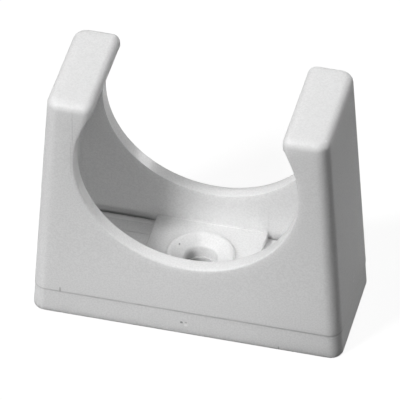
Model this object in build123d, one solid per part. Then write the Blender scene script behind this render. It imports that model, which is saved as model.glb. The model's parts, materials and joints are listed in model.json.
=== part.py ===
from build123d import *
import math
import os

os.makedirs("parts", exist_ok=True)

# Open pipe clip moulded in one piece. The base stands on z = 0 with its centre at the origin,
# the pipe runs along y and the mouth opens upwards.

# Pipe and bore
pipe_d = 32.0         # outside diameter of the pipe
bore_clear = 0.1      # room between pipe and bore, on the radius
seat_h = 12.7         # base to the lowest point of the bore
mouth_w = 27.2        # gap between the noses of the two lips

# Body above the plinth
wall = 2.0            # front, back and side walls
lip_t = 1.7           # arm top above the nose of the lip
roof_gap = 0.1        # underside of the arm tops above the noses
arm_t = 4.1           # bore to the outer side, at the top of an arm
body_d = 17.5         # depth at the top of the arms
side_draft = 4.0      # lean of the two sides, degrees
end_draft = 0.86      # lean of the front and the back, degrees
corner_r = 2.0        # upright outer corners
edge_r = 1.3          # edges round the arm tops
lip_r = 1.25          # rounded lead-in of the mouth
inner_r = 0.6         # upright corners of the hollow

# Plinth
plinth_h = 4.35       # height of the plinth
plinth_step = 0.08    # fine step from the body in to the plinth
base_r = 0.5          # lower edge of the plinth

# Floor of the hollow
floor_z = 6.15        # top of the floor beside the pad
floor_t = 2.0         # thickness of the floor
pad_w = 16.4          # width of the raised pad
pad_h = 1.05          # pad above the floor
panel_t = 0.12        # thickening of the end walls where they meet the pad
panel_h = 5.2         # height over which that thickening dies out
panel_draft = 3.0     # lean of the sides of that thickening, degrees
groove_w = 0.3        # groove at the foot of the end walls
groove_d = 1.0        # depth of that groove

# Screw boss
boss_r = 4.95         # outer radius of the boss
boss_h = 0.6          # rim of the boss above the pad
boss_rim = 0.7        # width of the rim
boss_round = 0.45     # rounding of the rim
dish_d = 1.0          # depth of the dished seat for the screw head
hole_r = 2.45         # screw hole below the dish
throat_r = 2.2        # narrower lower part of the screw hole
throat_drop = 1.9     # dish to the narrower part

# Derived places
bore_r = pipe_d / 2 + bore_clear
axis_z = seat_h + bore_r
mouth_x = mouth_w / 2
nose_z = axis_z + math.sqrt(bore_r ** 2 - mouth_x ** 2)
height = nose_z + lip_t
top_w = 2 * (bore_r + arm_t)
side_lean = math.tan(math.radians(side_draft))
end_lean = math.tan(math.radians(end_draft))
pad_z = floor_z + pad_h
boss_z = pad_z + boss_h


def width_at(z):
    """Outer width of the body at a height."""
    return top_w + 2 * (height - z) * side_lean


def depth_at(z):
    """Outer depth of the body at a height."""
    return body_d + 2 * (height - z) * end_lean


def through_y(sketch, length):
    """Solid of a sketch drawn in x and z, run evenly to both sides along y."""
    return extrude(Plane.XZ * sketch, amount=length / 2, both=True)


def trapezoid(low, high, z0, z1):
    """Face with one width at its foot and another at its top."""
    return make_face(Polyline((-low / 2, z0), (low / 2, z0), (high / 2, z1), (-high / 2, z1), close=True))


def leaning_block(z0, z1, inset, radius):
    """Block that follows the lean of all four outer faces at an inset, with rounded upright corners."""
    front = trapezoid(width_at(z0) - 2 * inset, width_at(z1) - 2 * inset, z0, z1)
    side = trapezoid(depth_at(z0) - 2 * inset, depth_at(z1) - 2 * inset, z0, z1)
    block = through_y(front, 2 * depth_at(0)) & extrude(Plane.YZ * side, amount=width_at(0), both=True)
    uprights = [e for e in block.edges() if abs(e.tangent_at(0.5).Z) > 0.5]
    return fillet(uprights, radius)


# Outer body with its mouth
body = leaning_block(plinth_h, height, 0, corner_r)
slot_h = height - axis_z
body -= through_y(Pos(0, axis_z + slot_h) * Rectangle(mouth_w, 2 * slot_h), 2 * depth_at(0))

# Rounded lead-in along both lips
lip_round = min(lip_r, 0.8 * lip_t)
lips = body.edges().filter_by(Axis.Y).group_by(Axis.Z)[-1].sort_by(lambda e: abs(e.center().X))[:2]
body = fillet(lips, lip_round)

# Rounded edges round both arm tops, down to the noses
top_edges = []
for edge in body.edges():
    c = edge.center()
    on_top = abs(c.Z - height) < 1e-4 and abs(c.X) > mouth_x + lip_round + 1e-4
    end_y = depth_at(c.Z) / 2
    on_end = abs(c.X) < mouth_x + lip_round and c.Z > axis_z + 1e-4 and abs(abs(c.Y) - end_y) < 0.05
    if on_top or on_end:
        top_edges.append(edge)
body = fillet(top_edges, min(edge_r, 0.9 * lip_t))

# Plinth under the body
plinth = leaning_block(0, plinth_h, plinth_step, corner_r - plinth_step)
body += fillet(plinth.edges().group_by(Axis.Z)[0], base_r)

# Hollow between the four walls, the floor and the arm tops
body -= leaning_block(floor_z, nose_z + roof_gap, wall, inner_r)

# Raised pad across the hollow, from end wall to end wall
in_floor_d = depth_at(floor_z) - 2 * wall
in_pad_d = depth_at(pad_z) - 2 * wall
pad_x = pad_w / 2
body += Pos(0, 0, floor_z - floor_t / 2) * Box(
    pad_w, in_floor_d + wall, pad_h + floor_t / 2, align=(Align.CENTER, Align.CENTER, Align.MIN)
)

# End walls thicken down towards the pad, below the bore
panel_z = pad_z + panel_h
panel_top = pad_w + 2 * panel_h * math.tan(math.radians(panel_draft))
panel_front = trapezoid(pad_w, panel_top, pad_z, panel_z)
in_panel_d = depth_at(panel_z) - 2 * wall
panel_side = make_face(
    Polyline(
        (in_pad_d / 2 - panel_t, pad_z),
        (in_pad_d / 2 + wall / 2, pad_z),
        (in_panel_d / 2 + wall / 2, panel_z),
        (in_panel_d / 2, panel_z),
        close=True,
    )
)
panel = through_y(panel_front, 2 * depth_at(0))
panel &= extrude(Plane.YZ * panel_side, amount=top_w / 2, both=True)
body += panel
body += mirror(panel, about=Plane.XZ)

# Grooves at the foot of the end walls, beside the pad
in_floor_w = width_at(floor_z) - 2 * wall
groove_l = (in_floor_w - pad_w) / 2 - inner_r
groove_x = pad_x + groove_l / 2
groove_y = in_floor_d / 2 - groove_w / 2
for sx in (-1, 1):
    for sy in (-1, 1):
        body -= Pos(sx * groove_x, sy * groove_y, floor_z - groove_d) * Box(
            groove_l, groove_w, 2 * groove_d, align=(Align.CENTER, Align.CENTER, Align.MIN)
        )

# Bore for the pipe
body -= through_y(Pos(0, axis_z) * Circle(bore_r), 2 * depth_at(0))

# Hollow underside, with the floor at an even thickness
under_w = width_at(plinth_h) - 2 * wall
under_d = depth_at(plinth_h) - 2 * wall
body -= extrude(RectangleRounded(under_w, under_d, inner_r), amount=floor_z - floor_t)
body -= extrude(Rectangle(pad_w - 2 * floor_t, under_d), amount=pad_z - floor_t)

# Screw boss from the base to the dished seat
boss_section = make_face(
    Polyline(
        (throat_r, 0),
        (boss_r, 0),
        (boss_r, boss_z),
        (boss_r - boss_rim, boss_z),
        (hole_r, boss_z - dish_d),
        (hole_r, boss_z - dish_d - throat_drop),
        (throat_r, boss_z - dish_d - throat_drop),
        close=True,
    )
)
rim_corners = boss_section.vertices().filter_by(lambda v: abs(v.Y - boss_z) < 1e-4)
seat_corner = boss_section.vertices().filter_by(lambda v: abs(v.Y - (boss_z - dish_d)) < 1e-4)
boss_section = fillet(rim_corners + seat_corner, boss_round)
body -= extrude(Circle(boss_r), amount=boss_z)
body += revolve(Plane.XZ * boss_section, axis=Axis.Z)

export_step(body, "parts/pipe_clip.step")
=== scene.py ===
import json
import math

import bmesh
import bpy
from bpy.props import FloatProperty, FloatVectorProperty, PointerProperty
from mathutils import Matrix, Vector


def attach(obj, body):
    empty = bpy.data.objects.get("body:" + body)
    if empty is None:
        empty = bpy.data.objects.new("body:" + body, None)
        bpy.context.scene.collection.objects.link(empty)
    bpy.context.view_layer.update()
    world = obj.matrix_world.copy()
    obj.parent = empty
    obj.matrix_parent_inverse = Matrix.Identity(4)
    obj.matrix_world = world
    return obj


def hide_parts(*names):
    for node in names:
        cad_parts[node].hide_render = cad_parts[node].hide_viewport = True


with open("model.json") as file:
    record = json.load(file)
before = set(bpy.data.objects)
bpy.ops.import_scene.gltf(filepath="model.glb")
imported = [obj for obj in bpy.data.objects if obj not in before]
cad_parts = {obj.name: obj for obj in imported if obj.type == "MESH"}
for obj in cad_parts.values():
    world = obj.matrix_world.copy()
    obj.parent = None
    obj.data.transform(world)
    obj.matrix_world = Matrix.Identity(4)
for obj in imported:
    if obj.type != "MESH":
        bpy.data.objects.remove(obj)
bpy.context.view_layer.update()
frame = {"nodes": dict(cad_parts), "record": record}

bl_info = {
    "name": "Open pipe clip",
    "version": (1, 0, 0),
    "blender": (4, 5, 0),
    "location": "View3D > Sidebar > Pipe clip",
    "description": "Finishes the moulded pipe clip and sets it on a pale studio floor",
    "category": "Object",
}

MM = 0.001

# Places on the solid
MOUNTS = {mount["name"]: mount for mount in frame["record"]["mounts"]}
BORE_R = MOUNTS["pipe_seat_front"]["dims"]["r_mm"] * MM
BORE_Z = MOUNTS["pipe_seat_front"]["pos_m"][2]
FRONT_RIM_Y = -8.0 * MM         # the front rim of the bore lies ahead of this
PLINTH_H = 4.35 * MM
PAD_X = 8.2 * MM                # middle of the pad to its long edges
PAD_Z = 7.2 * MM

# Making of the mesh
SAME_PLACE = 1e-6               # corners this close are merged
ON_LINE = 0.02 * MM             # corners this close to a line are on it
FLAT_ANGLE = math.radians(0.3)  # faces that turn less than this are joined
EDGE_ANGLE = math.radians(60)   # edges that turn more than this are eased
SHARP_ANGLE = math.radians(35)  # edges that turn more than this stay sharp in the shading

# Finish of the plastic
SEAT_SKIN = 0.1 * MM            # depth over which the finish of the back seat ends
SEAT_FADE = 1.0 * MM            # it ends over this to both sides of the middle plane
GRAIN_RANGE = (0.35, 0.65)      # part of the noise that runs from the hollows to the tops of the grain
SEAM_FRONT = (-8.0 * MM, -5.5 * MM)  # the painted shade on the seam thins out between these
SEAM_THIN = 0.2                 # share of that painted shade on the sides and the back
PATCH_WIDTH = 1.5 * MM          # patches of that painted shade
MARK_CORE = 0.4                 # part of a mark that has its full strength

# Marks on the moulding: middle and half size in millimetres, strength, and True for dark marks and painted
# shade, False for bright scuffs and painted light
MARKS = (
    ((-18.42, -9.26, 4.75), (0.10, 0.40, 0.50), 0.55, True),      # nick above the seam
    ((-0.53, -9.23, 2.30), (0.22, 0.40, 0.20), 0.75, True),       # two pits in the plinth
    ((0.10, -9.23, 2.42), (0.20, 0.40, 0.12), 0.45, True),
    ((0.12, -9.23, 1.88), (0.30, 0.40, 0.24), 1.00, False),       # painted highlight of a small dent below them
    ((-3.47, 1.33, 7.50), (0.12, 0.20, 0.20), 0.75, True),        # speck in the dish
    ((19.59, -7.11, 38.95), (0.18, 0.22, 0.25), 1.00, False),     # chip on the right arm top
    ((22.40, 0.47, 7.64), (0.40, 0.36, 0.14), 0.90, False),       # two scratches on the right side, painted white as the glints they catch
    ((22.45, 0.33, 7.00), (0.40, 0.36, 0.14), 0.80, False),
    ((21.83, -8.80, 3.97), (0.75, 0.60, 0.13), 0.80, False),      # painted light from below on the corner of the plinth under the seam
    ((13.72, -9.22, 0.50), (0.14, 0.50, 0.36), 0.40, True),       # nick at the lower edge
    ((-16.25, -8.81, 35.0), (0.12, 0.40, 3.6), 0.12, True),       # faint scratch down the left arm
    ((-16.53, -8.90, 29.4), (0.12, 0.40, 3.6), 0.12, True),
    ((-12.80, 6.35, 6.15), (4.50, 0.40, 0.10), 0.90, False),      # painted highlight on a strip of the floor, left
    ((-10.40, 3.72, 6.15), (2.00, 0.16, 0.10), 0.20, True),       # faint line of painted shade before it
    ((-0.60, 0.00, 4.20), (2.50, 2.60, 2.50), 0.52, True),        # painted shade in the screw hole
    ((-2.90, 0.60, 7.40), (2.60, 4.20, 1.30), 0.15, True),        # painted shade on the left of the dish
    ((1.50, 7.10, 7.20), (7.50, 0.30, 0.30), 0.40, False),        # painted light along the line at the back of the pad
    ((-15.40, -7.75, 26.50), (1.70, 1.20, 8.50), 1.00, False),    # painted light on the front rim of the bore, left
    ((15.00, -7.75, 22.00), (2.00, 1.20, 6.00), 0.60, False),     # and right
)
# Painted shade in the grooves at the foot of the end walls and on the walls above them, on both sides of
# the middle planes
GROOVES = (
    ((14.40, 7.20, 5.60), (6.60, 0.36, 0.80), 0.50, True),
    ((14.40, 7.35, 5.60), (6.60, 0.36, 1.90), 0.32, True),
)

# Floor and camera
FLOOR_HALF = 1.0                # middle of the floor to its sides
FLOOR_GLOW = 0.90               # light that brings the seen floor up to white
CARD_MIDDLE = (-14.0, -37.5, 0.0)  # pale card on the floor, in millimetres
CARD_HALF = (40.0, 30.0, 1.0)
CARD_CORE = 0.7                 # part of the card that has its full colour
LAMPS = ("key", "low", "fill", "high", "rear", "glint")
SENSOR_WIDTH = 36.0
VIEW_RANGE = (0.01, 10.0)       # nearest and farthest that the camera sees


def linear(hex_colour):
    """Linear colour with alpha of an sRGB hex colour."""
    parts = [int(hex_colour[i:i + 2], 16) / 255 for i in (1, 3, 5)]
    return [p / 12.92 if p <= 0.04045 else ((p + 0.055) / 1.055) ** 2.4 for p in parts] + [1.0]


def add_node(tree, kind, links=None, sockets=None, **settings):
    """Adds a node with its settings, sets its input sockets and links into them."""
    node = tree.nodes.new(kind)
    for name, value in settings.items():
        setattr(node, name, value)
    for key, value in (sockets or {}).items():
        node.inputs[key].default_value = value
    for key, source in (links or {}).items():
        tree.links.new(source, node.inputs[key])
    return node


def soft_box(tree, place, middle, half, core, strength, **settings):
    """Socket that falls from a strength to 0 between the core of a rounded box and its surface.
    The box's middle and half size are in millimetres."""
    near = add_node(
        tree, "ShaderNodeVectorMath", {0: place},
        {1: [1 / (w * MM) for w in half], 2: [-c / w for c, w in zip(middle, half)]},
        operation="MULTIPLY_ADD").outputs["Vector"]
    near = add_node(
        tree, "ShaderNodeVectorMath", {0: near, 1: near}, operation="MULTIPLY").outputs["Vector"]
    near = add_node(tree, "ShaderNodeVectorMath", {0: near}, operation="LENGTH").outputs["Value"]
    return add_node(
        tree, "ShaderNodeMapRange", {"Value": near},
        {"From Min": core, "From Max": 1.0, "To Min": strength, "To Max": 0.0},
        **settings).outputs["Result"]


def toward(azimuth, elevation):
    """Unit vector from the object to a place round it; azimuth 0 is the front and 90 the right."""
    flat = math.cos(elevation)
    return Vector((math.sin(azimuth) * flat, -math.cos(azimuth) * flat, math.sin(elevation)))


def aim(holder, middle, out, distance):
    """Puts a lamp or the camera at a distance from the middle and turns it to face that."""
    holder.location = middle + out * distance
    holder.rotation_euler = (-out).to_track_quat("-Z", "Y").to_euler()


class ClipMouldingSettings(bpy.types.PropertyGroup):
    """Sizes and colours of the moulding."""

    colour: FloatVectorProperty(
        name="Colour", description="Colour of the moulded plastic",
        subtype="COLOR", size=4, min=0.0, max=1.0, default=linear("#EEEEEE"))
    shade: FloatVectorProperty(
        name="Grain colour", description="Colour in the hollows of the grain",
        subtype="COLOR", size=4, min=0.0, max=1.0, default=linear("#E4E4E4"))
    front_ease: FloatProperty(
        name="Front rim easing", description="Rounding of the front rim of the bore",
        unit="LENGTH", default=0.30 * MM)
    rim_ease: FloatProperty(
        name="Rim easing", description="Rounding of the other rims of the bore",
        unit="LENGTH", default=0.06 * MM)
    pad_ease: FloatProperty(
        name="Pad easing", description="Rounding of the long edges of the pad",
        unit="LENGTH", default=0.14 * MM)
    roughness: FloatProperty(
        name="Roughness", description="Roughness of the satin surface",
        subtype="FACTOR", min=0.0, max=1.0, default=0.5)
    grain: FloatProperty(
        name="Grain", description="Width of one grain of the surface left by the mould",
        unit="LENGTH", default=0.25 * MM)
    grain_depth: FloatProperty(
        name="Grain depth", description="Depth of that grain",
        unit="LENGTH", default=0.025 * MM)
    seat_roughness: FloatProperty(
        name="Seat roughness", description="Roughness of the back seat, rubbed smooth by the pipe",
        subtype="FACTOR", min=0.0, max=1.0, default=0.24)
    scatter: FloatProperty(
        name="Scatter", description="How far light spreads inside the plastic",
        unit="LENGTH", default=2.0 * MM)
    # The line between body and plinth is painted shade
    seam_shade_colour: FloatVectorProperty(
        name="Seam colour", description="Colour of the dusty line between body and plinth",
        subtype="COLOR", size=4, min=0.0, max=1.0, default=linear("#CACACA"))
    seam_width: FloatProperty(
        name="Seam width", description="Height of that line",
        unit="LENGTH", default=0.38 * MM)
    # Also the colour of the painted shade in the grooves, the screw hole, the dish and the line on the
    # floor
    dirt_and_shade_colour: FloatVectorProperty(
        name="Dirt colour", description="Colour of dirt in the nicks, the grooves, the dish and the hole",
        subtype="COLOR", size=4, min=0.0, max=1.0, default=linear("#7E7E7E"))
    # Also the colour of the painted light: the front rim of the bore, a corner of the plinth, a strip on
    # the floor, the line at the back of the pad, and the glints of a dent and of two scratches
    scuff_and_light_colour: FloatVectorProperty(
        name="Scuff colour", description="Colour of the bright scuffs and rubbed places",
        subtype="COLOR", size=4, min=0.0, max=1.0, default=linear("#FFFFFF"))


class ClipStageSettings(bpy.types.PropertyGroup):
    """Camera and lamps. Azimuths start at the front and grow to the right."""

    view_azimuth: FloatProperty(
        name="View azimuth", description="Camera to the right of the front",
        subtype="ANGLE", default=math.radians(14.01))
    view_elevation: FloatProperty(
        name="View elevation", description="Camera above the horizon",
        subtype="ANGLE", default=math.radians(41.45))
    view_distance: FloatProperty(
        name="View distance", description="Camera to the middle of the picture",
        unit="LENGTH", default=783.4 * MM)
    view_x: FloatProperty(
        name="View centre across", description="Middle of the picture, to the right of the clip's middle",
        unit="LENGTH", default=-0.10 * MM)
    view_z: FloatProperty(
        name="View centre height", description="Middle of the picture, above the base",
        unit="LENGTH", default=17.79 * MM)
    view_lens: FloatProperty(
        name="Lens", description="Focal length for a 36 mm wide sensor, in millimetres",
        default=496.3)
    key_place: FloatVectorProperty(
        name="Key place", description="Azimuth and elevation of the soft box at the front left",
        size=2, unit="ROTATION", default=(math.radians(-38.0), math.radians(45.0)))
    key_size: FloatProperty(
        name="Key size", description="Width of the soft box at the front left",
        unit="LENGTH", default=0.2)
    key_watts: FloatProperty(
        name="Key power", description="Power of the soft box at the front left",
        unit="POWER", default=7.85)
    low_place: FloatVectorProperty(
        name="Low place", description="Azimuth and elevation of the low lamp at the front left",
        size=2, unit="ROTATION", default=(math.radians(-33.0), math.radians(20.0)))
    low_size: FloatProperty(
        name="Low size", description="Width of the low lamp at the front left",
        unit="LENGTH", default=0.22)
    low_watts: FloatProperty(
        name="Low power", description="Power of the low lamp at the front left",
        unit="POWER", default=0.34)
    fill_place: FloatVectorProperty(
        name="Fill place", description="Azimuth and elevation of the fill lamp at the front right",
        size=2, unit="ROTATION", default=(math.radians(28.0), math.radians(54.0)))
    fill_size: FloatProperty(
        name="Fill size", description="Width of the fill lamp at the front right",
        unit="LENGTH", default=0.22)
    fill_watts: FloatProperty(
        name="Fill power", description="Power of the fill lamp at the front right",
        unit="POWER", default=1.26)
    high_place: FloatVectorProperty(
        name="High place", description="Azimuth and elevation of the high lamp behind",
        size=2, unit="ROTATION", default=(math.radians(155.0), math.radians(66.0)))
    high_size: FloatProperty(
        name="High size", description="Width of the high lamp behind",
        unit="LENGTH", default=0.26)
    high_watts: FloatProperty(
        name="High power", description="Power of the high lamp behind",
        unit="POWER", default=1.20)
    rear_place: FloatVectorProperty(
        name="Rear place", description="Azimuth and elevation of the low lamp behind",
        size=2, unit="ROTATION", default=(math.radians(180.0), math.radians(26.0)))
    rear_size: FloatProperty(
        name="Rear size", description="Width of the low lamp behind",
        unit="LENGTH", default=0.22)
    rear_watts: FloatProperty(
        name="Rear power", description="Power of the low lamp behind",
        unit="POWER", default=1.60)
    glint_place: FloatVectorProperty(
        name="Glint place", description="Azimuth and elevation of the low lamp behind on the right",
        size=2, unit="ROTATION", default=(math.radians(140.0), math.radians(18.0)))
    glint_size: FloatProperty(
        name="Glint size", description="Width of the low lamp behind on the right",
        unit="LENGTH", default=0.22)
    glint_watts: FloatProperty(
        name="Glint power", description="Power of the low lamp behind on the right",
        unit="POWER", default=1.20)
    lamp_distance: FloatProperty(
        name="Lamp distance", description="Lamps to the clip",
        unit="LENGTH", default=1.0)
    ambient: FloatProperty(
        name="Ambient", description="Light from all round",
        default=0.0)


def on_bore(vert):
    """True for a corner on the round wall of the bore."""
    return abs(math.hypot(vert.co.x, vert.co.z - BORE_Z) - BORE_R) < ON_LINE


def on_front_rim(vert):
    """True for a corner on the front rim of the bore."""
    return on_bore(vert) and vert.co.y < FRONT_RIM_Y


def on_pad_edge(vert):
    """True for a corner on one of the two long edges of the pad."""
    return abs(abs(vert.co.x) - PAD_X) < ON_LINE and abs(vert.co.z - PAD_Z) < ON_LINE


def ease(bm, on_line, width, segments):
    """Rounds the sharp outer edges whose two corners are on a line."""
    edges = []
    for edge in bm.edges:
        if len(edge.link_faces) != 2 or edge.calc_face_angle() < EDGE_ANGLE or not edge.is_convex:
            continue
        if all(on_line(vert) for vert in edge.verts):
            edges.append(edge)
    if not edges:
        raise RuntimeError("no edges to ease")
    bmesh.ops.bevel(
        bm, geom=edges, offset=width, offset_type="OFFSET", segments=segments,
        profile=0.5, affect="EDGES", clamp_overlap=False, loop_slide=True)


def moulding_mesh(settings):
    """Mesh of the moulding: the solid's own surface, with the rims of the bore and the pad eased."""
    bm = bmesh.new()
    bm.from_mesh(frame["nodes"]["pipe_clip"].data)
    bmesh.ops.remove_doubles(bm, verts=bm.verts, dist=SAME_PLACE)
    bmesh.ops.dissolve_limit(
        bm, angle_limit=FLAT_ANGLE, verts=bm.verts, edges=bm.edges, delimit=set())
    ease(bm, on_front_rim, settings.front_ease, segments=4)
    ease(bm, on_bore, settings.rim_ease, segments=2)
    ease(bm, on_pad_edge, settings.pad_ease, segments=3)
    bmesh.ops.remove_doubles(bm, verts=bm.verts, dist=SAME_PLACE)
    bmesh.ops.triangulate(bm, faces=bm.faces)
    mesh = bpy.data.meshes.new("clip_moulding")
    bm.to_mesh(mesh)
    bm.free()
    # The solid's own normals no longer fit the eased mesh
    if "custom_normal" in mesh.attributes:
        mesh.attributes.remove(mesh.attributes["custom_normal"])
    return mesh


def moulded_polypropylene(settings):
    """Polypropylene from a spark-eroded mould: a pale, even colour under a soft satin sheen, with a
    fine grain that breaks up the highlights. Light spreads a little inside it, which softens edges
    and shadows. The back seat is rubbed smooth by the pipe and glossier. Painted shade darkens the
    line above the plinth, the grooves, the screw hole and the dish, painted light brightens the front
    rim of the bore and a few other places, and there are a few nicks, specks and scuffs."""
    material = bpy.data.materials.new("moulded_polypropylene")
    material.use_nodes = True
    tree = material.node_tree
    tree.nodes.clear()
    place = add_node(tree, "ShaderNodeTexCoord").outputs["Object"]
    axes = add_node(tree, "ShaderNodeSeparateXYZ", {"Vector": place}).outputs

    # 0 on the smooth back seat and 1 elsewhere
    across = add_node(
        tree, "ShaderNodeVectorMath", {0: place}, {1: (1.0, 0.0, 1.0), 2: (0.0, 0.0, -BORE_Z)},
        operation="MULTIPLY_ADD").outputs["Vector"]
    across = add_node(tree, "ShaderNodeVectorMath", {0: across}, operation="LENGTH").outputs["Value"]
    rough = add_node(
        tree, "ShaderNodeMapRange", {"Value": across},
        {"From Min": BORE_R, "From Max": BORE_R + SEAT_SKIN}).outputs["Result"]
    ahead = add_node(
        tree, "ShaderNodeMapRange", {"Value": axes["Y"]},
        {"From Min": SEAT_FADE, "From Max": -SEAT_FADE}).outputs["Result"]
    rough = add_node(tree, "ShaderNodeMath", {0: rough, 1: ahead}, operation="MAXIMUM").outputs[0]

    # The real grain is about a third as wide. It is drawn coarser, so that it shows in the render.
    grain = add_node(
        tree, "ShaderNodeTexNoise", {"Vector": place},
        {"Scale": 1 / settings.grain, "Detail": 2.0, "Roughness": 0.6}).outputs["Fac"]
    bump = add_node(
        tree, "ShaderNodeBump", {"Height": grain, "Strength": rough},
        {"Distance": settings.grain_depth})
    spread = add_node(
        tree, "ShaderNodeMapRange", {"Value": grain},
        {"From Min": GRAIN_RANGE[0], "From Max": GRAIN_RANGE[1]}).outputs["Result"]
    colour = add_node(
        tree, "ShaderNodeMix", {"Factor": spread}, {6: settings.shade, 7: settings.colour},
        data_type="RGBA").outputs[2]

    # Painted shade along the line above the plinth: patchy, full on the front and fainter towards the back
    height = add_node(
        tree, "ShaderNodeMath", {0: axes["Z"]}, {1: PLINTH_H}, operation="SUBTRACT").outputs[0]
    height = add_node(tree, "ShaderNodeMath", {0: height}, operation="ABSOLUTE").outputs[0]
    line = add_node(
        tree, "ShaderNodeMapRange", {"Value": height},
        {"From Min": 0.2 * settings.seam_width, "From Max": 0.6 * settings.seam_width,
         "To Min": 1.0, "To Max": 0.0},
        interpolation_type="SMOOTHSTEP").outputs["Result"]
    front = add_node(
        tree, "ShaderNodeMapRange", {"Value": axes["Y"]},
        {"From Min": SEAM_FRONT[0], "From Max": SEAM_FRONT[1],
         "To Min": 1.0, "To Max": SEAM_THIN}).outputs["Result"]
    patches = add_node(
        tree, "ShaderNodeTexNoise", {"Vector": place},
        {"Scale": 1 / PATCH_WIDTH, "Detail": 1.0}).outputs["Fac"]
    patches = add_node(
        tree, "ShaderNodeMapRange", {"Value": patches},
        {"From Min": 0.3, "From Max": 0.7, "To Min": 0.55, "To Max": 1.0}).outputs["Result"]
    # Mask of the painted shade on the seam
    seam_shade = add_node(tree, "ShaderNodeMath", {0: line, 1: front}, operation="MULTIPLY").outputs[0]
    seam_shade = add_node(tree, "ShaderNodeMath", {0: seam_shade, 1: patches}, operation="MULTIPLY").outputs[0]
    colour = add_node(
        tree, "ShaderNodeMix", {"Factor": seam_shade, 6: colour}, {7: settings.seam_shade_colour},
        data_type="RGBA").outputs[2]

    # Nicks, specks, scuffs, painted shade and painted light, each a soft rounded box
    mirrored = add_node(
        tree, "ShaderNodeVectorMath", {0: place}, operation="ABSOLUTE").outputs["Vector"]
    for source, marks in ((place, MARKS), (mirrored, GROOVES)):
        for middle, half, strength, darkening in marks:
            near = soft_box(
                tree, source, middle, half, MARK_CORE, strength, interpolation_type="SMOOTHSTEP")
            # Dark marks and painted shade take the one colour, bright scuffs and painted light the other
            colour = add_node(
                tree, "ShaderNodeMix", {"Factor": near, 6: colour},
                {7: settings.dirt_and_shade_colour if darkening else settings.scuff_and_light_colour},
                data_type="RGBA").outputs[2]

    roughness = add_node(
        tree, "ShaderNodeMapRange", {"Value": rough},
        {"To Min": settings.seat_roughness, "To Max": settings.roughness}).outputs["Result"]
    shader = add_node(
        tree, "ShaderNodeBsdfPrincipled",
        {"Base Color": colour, "Roughness": roughness, "Normal": bump.outputs["Normal"]},
        {"IOR": 1.49, "Subsurface Weight": 1.0, "Subsurface Radius": (1.0, 1.0, 1.0),
         "Subsurface Scale": settings.scatter})
    add_node(tree, "ShaderNodeOutputMaterial", {"Surface": shader.outputs["BSDF"]})
    return material


def seen_directly(tree):
    """Socket that is 1 where the camera sees the surface, straight or in a mirror or through glass."""
    path = add_node(tree, "ShaderNodeLightPath").outputs
    seen = path["Is Camera Ray"]
    for kind in ("Is Glossy Ray", "Is Transmission Ray"):
        seen = add_node(
            tree, "ShaderNodeMath", {0: seen, 1: path[kind]}, operation="MAXIMUM").outputs[0]
    return seen


def matt_paper():
    """Seamless matt paper: white to the camera, with a faint shadow. To the clip it is a dark grey,
    with a paler card on it in front that lifts the foot of the clip's front."""
    material = bpy.data.materials.new("matt_paper")
    material.use_nodes = True
    tree = material.node_tree
    tree.nodes.clear()
    seen = seen_directly(tree)
    shade = add_node(tree, "ShaderNodeBsdfDiffuse", sockets={"Color": linear("#6E6E6E")})
    glow = add_node(
        tree, "ShaderNodeEmission", sockets={"Color": linear("#FFFFFF"), "Strength": FLOOR_GLOW})
    white = add_node(tree, "ShaderNodeAddShader", {0: shade.outputs[0], 1: glow.outputs[0]})
    place = add_node(tree, "ShaderNodeTexCoord").outputs["Object"]
    card = soft_box(tree, place, CARD_MIDDLE, CARD_HALF, CARD_CORE, 1.0)
    colour = add_node(
        tree, "ShaderNodeMix", {"Factor": card}, {6: linear("#242424"), 7: linear("#B4B4B4")},
        data_type="RGBA").outputs[2]
    grey = add_node(tree, "ShaderNodeBsdfDiffuse", {"Color": colour})
    mix = add_node(
        tree, "ShaderNodeMixShader", {0: seen, 1: grey.outputs[0], 2: white.outputs[0]})
    add_node(tree, "ShaderNodeOutputMaterial", {"Surface": mix.outputs[0]})
    return material


class CLIP_OT_moulding(bpy.types.Operator):
    """Makes the moulding with its eased edges and its plastic"""

    bl_idname = "pipe_clip.moulding"
    bl_label = "Moulding"

    def execute(self, context):
        settings = context.scene.clip_moulding
        piece = bpy.data.objects.new("clip_moulding", moulding_mesh(settings))
        context.scene.collection.objects.link(piece)
        piece.data.materials.append(moulded_polypropylene(settings))
        for polygon in piece.data.polygons:
            polygon.use_smooth = True
        piece.data.set_sharp_from_angle(angle=SHARP_ANGLE)
        evener = piece.modifiers.new("even_normals", "WEIGHTED_NORMAL")
        evener.keep_sharp = True
        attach(piece, "root")
        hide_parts("pipe_clip")
        return {"FINISHED"}


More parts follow.
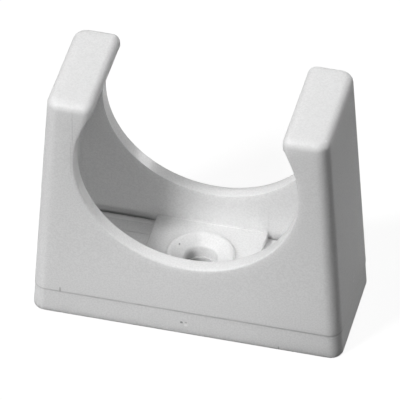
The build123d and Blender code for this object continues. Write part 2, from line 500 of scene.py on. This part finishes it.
class CLIP_OT_stage(bpy.types.Operator):
    """Sets up the floor, the lamps, the light from all round and the camera"""

    bl_idname = "pipe_clip.stage"
    bl_label = "Stage"

    def execute(self, context):
        scene = context.scene
        settings = scene.clip_stage

        mesh = bpy.data.meshes.new("floor")
        corners = [(x * FLOOR_HALF, y * FLOOR_HALF, 0) for x, y in ((-1, -1), (1, -1), (1, 1), (-1, 1))]
        mesh.from_pydata(corners, [], [(0, 1, 2, 3)])
        floor = bpy.data.objects.new("floor", mesh)
        mesh.materials.append(matt_paper())
        scene.collection.objects.link(floor)

        middle = Vector((settings.view_x, 0, settings.view_z))
        for name in LAMPS:
            lamp = bpy.data.lights.new(name, "AREA")
            lamp.shape = "SQUARE"
            lamp.size = getattr(settings, name + "_size")
            lamp.energy = getattr(settings, name + "_watts")
            holder = bpy.data.objects.new(name, lamp)
            aim(holder, middle, toward(*getattr(settings, name + "_place")), settings.lamp_distance)
            scene.collection.objects.link(holder)

        world = bpy.data.worlds.new("studio")
        world.use_nodes = True
        tree = world.node_tree
        tree.nodes.clear()
        seen = seen_directly(tree)
        soft = add_node(
            tree, "ShaderNodeBackground",
            sockets={"Color": linear("#FFFFFF"), "Strength": settings.ambient})
        white = add_node(
            tree, "ShaderNodeBackground", sockets={"Color": linear("#FFFFFF"), "Strength": 1.0})
        mix = add_node(
            tree, "ShaderNodeMixShader", {0: seen, 1: soft.outputs[0], 2: white.outputs[0]})
        add_node(tree, "ShaderNodeOutputWorld", {"Surface": mix.outputs[0]})
        scene.world = world

        camera = bpy.data.cameras.new("camera")
        camera.sensor_width = SENSOR_WIDTH
        camera.lens = settings.view_lens
        camera.clip_start, camera.clip_end = VIEW_RANGE
        holder = bpy.data.objects.new("camera", camera)
        aim(holder, middle, toward(settings.view_azimuth, settings.view_elevation), settings.view_distance)
        scene.collection.objects.link(holder)
        scene.camera = holder
        scene.view_settings.view_transform = "Standard"
        return {"FINISHED"}


class CLIP_PT_panel(bpy.types.Panel):
    """Sizes and colours of the pipe clip"""

    bl_label = "Pipe clip"
    bl_idname = "CLIP_PT_panel"
    bl_space_type = "VIEW_3D"
    bl_region_type = "UI"
    bl_category = "Pipe clip"

    def draw(self, context):
        for owner, operator in ((context.scene.clip_moulding, "pipe_clip.moulding"),
                                (context.scene.clip_stage, "pipe_clip.stage")):
            box = self.layout.box()
            for name in owner.__annotations__:
                box.prop(owner, name)
            box.operator(operator)


CLASSES = (
    ClipMouldingSettings,
    ClipStageSettings,
    CLIP_OT_moulding,
    CLIP_OT_stage,
    CLIP_PT_panel,
)


def register():
    for cls in CLASSES:
        bpy.utils.register_class(cls)
    bpy.types.Scene.clip_moulding = PointerProperty(type=ClipMouldingSettings)
    bpy.types.Scene.clip_stage = PointerProperty(type=ClipStageSettings)


def unregister():
    del bpy.types.Scene.clip_stage
    del bpy.types.Scene.clip_moulding
    for cls in reversed(CLASSES):
        bpy.utils.unregister_class(cls)


def main():
    register()
    bpy.ops.pipe_clip.moulding()
    bpy.ops.pipe_clip.stage()


if __name__ == "__main__":
    main()
